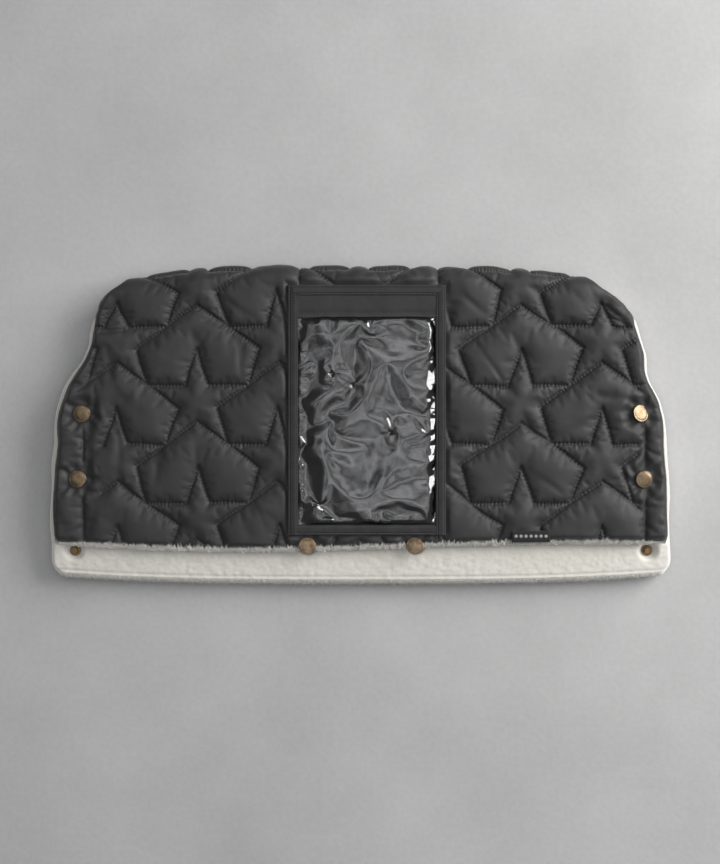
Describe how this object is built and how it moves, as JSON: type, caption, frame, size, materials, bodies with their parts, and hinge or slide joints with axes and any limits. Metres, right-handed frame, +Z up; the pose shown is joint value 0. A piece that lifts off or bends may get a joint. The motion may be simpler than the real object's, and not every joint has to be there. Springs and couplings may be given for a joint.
{
  "type": "hand warmer muff",
  "caption": "Quilted fleece-lined hand muff that folds over a pushchair handlebar, closes with snaps and carries a clear phone pocket.",
  "frame": {"origin": "middle of the underside's bounding box, on the surface that the muff lies on", "axes": "+X along the handlebar, to the right as the pocket is read; +Y towards the fold; +Z up through the folded layers"},
  "size_m": [0.54, 0.278, 0.0395],
  "materials": {
    "quilted_cloth": "charcoal satin-weave polyester, quilted in five-pointed stars, soft sheen",
    "batting": "lofty polyester batting, hidden between cloth and lining",
    "boa_fleece": "cream boa fleece with a short curled pile",
    "woven_tape": "plain woven interlining tape, hidden behind the snaps",
    "antique_brass": "antique brass plating, satin, darker in the recesses",
    "spring_wire": "drawn spring wire",
    "clear_film": "clear soft vinyl film, glossy and wrinkled",
    "band_cloth": "charcoal satin-weave polyester, single layer",
    "binding_tape": "black ribbed grosgrain binding with edge stitching",
    "label_weave": "black damask-woven label, blank but for a woven border"
  },
  "bodies": {
    "back": {"back_quilt_cover": "quilted_cloth", "back_batting": "batting", "back_boa_lining": "boa_fleece", "back_tape_left": "woven_tape", "back_tape_right": "woven_tape", "back_tape_centre": "woven_tape", "snap_stud_upper_left": "antique_brass", "snap_stud_upper_right": "antique_brass", "snap_stud_lower_left": "antique_brass", "snap_stud_lower_right": "antique_brass", "snap_stud_centre_left": "antique_brass", "snap_stud_centre_right": "antique_brass", "snap_stud_corner_left": "antique_brass", "snap_stud_corner_right": "antique_brass", "snap_post_upper_left": "antique_brass", "snap_post_upper_right": "antique_brass", "snap_post_lower_left": "antique_brass", "snap_post_lower_right": "antique_brass", "snap_post_centre_left": "antique_brass", "snap_post_centre_right": "antique_brass", "snap_post_corner_left": "antique_brass", "snap_post_corner_right": "antique_brass"},
    "fold": {"fold_quilt_cover": "quilted_cloth", "fold_batting": "batting", "fold_boa_lining": "boa_fleece"},
    "front": {"front_boa_lining": "boa_fleece", "front_batting": "batting", "front_quilt_cover": "quilted_cloth", "front_tape_left": "woven_tape", "front_tape_right": "woven_tape", "front_tape_centre": "woven_tape", "snap_cap_upper_left": "antique_brass", "snap_cap_upper_right": "antique_brass", "snap_cap_lower_left": "antique_brass", "snap_cap_lower_right": "antique_brass", "snap_cap_centre_left": "antique_brass", "snap_cap_centre_right": "antique_brass", "snap_socket_upper_left": "antique_brass", "snap_socket_upper_right": "antique_brass", "snap_socket_lower_left": "antique_brass", "snap_socket_lower_right": "antique_brass", "snap_socket_centre_left": "antique_brass", "snap_socket_centre_right": "antique_brass", "snap_spring_upper_left": "spring_wire", "snap_spring_upper_right": "spring_wire", "snap_spring_lower_left": "spring_wire", "snap_spring_lower_right": "spring_wire", "snap_spring_centre_left": "spring_wire", "snap_spring_centre_right": "spring_wire", "pocket_window": "clear_film", "pocket_top_band": "band_cloth", "pocket_band_hem": "binding_tape", "pocket_binding_left": "binding_tape", "pocket_binding_right": "binding_tape", "pocket_binding_bottom": "binding_tape", "woven_label": "label_weave"}
  },
  "joints": [
    {"name": "fold_at_back", "type": "hinge", "parent": "back", "child": "fold", "pos_m": [0, 0.13225, 0.00675], "axis": [-1, 0, 0], "range_deg": [0, 90]},
    {"name": "fold_at_front", "type": "hinge", "parent": "fold", "child": "front", "pos_m": [0, 0.13225, 0.02525], "axis": [-1, 0, 0], "range_deg": [0, 90]}
  ],
  "couplings": [
    {"joint": "fold_at_front", "follows": "fold_at_back", "ratio": 1}
  ]
}
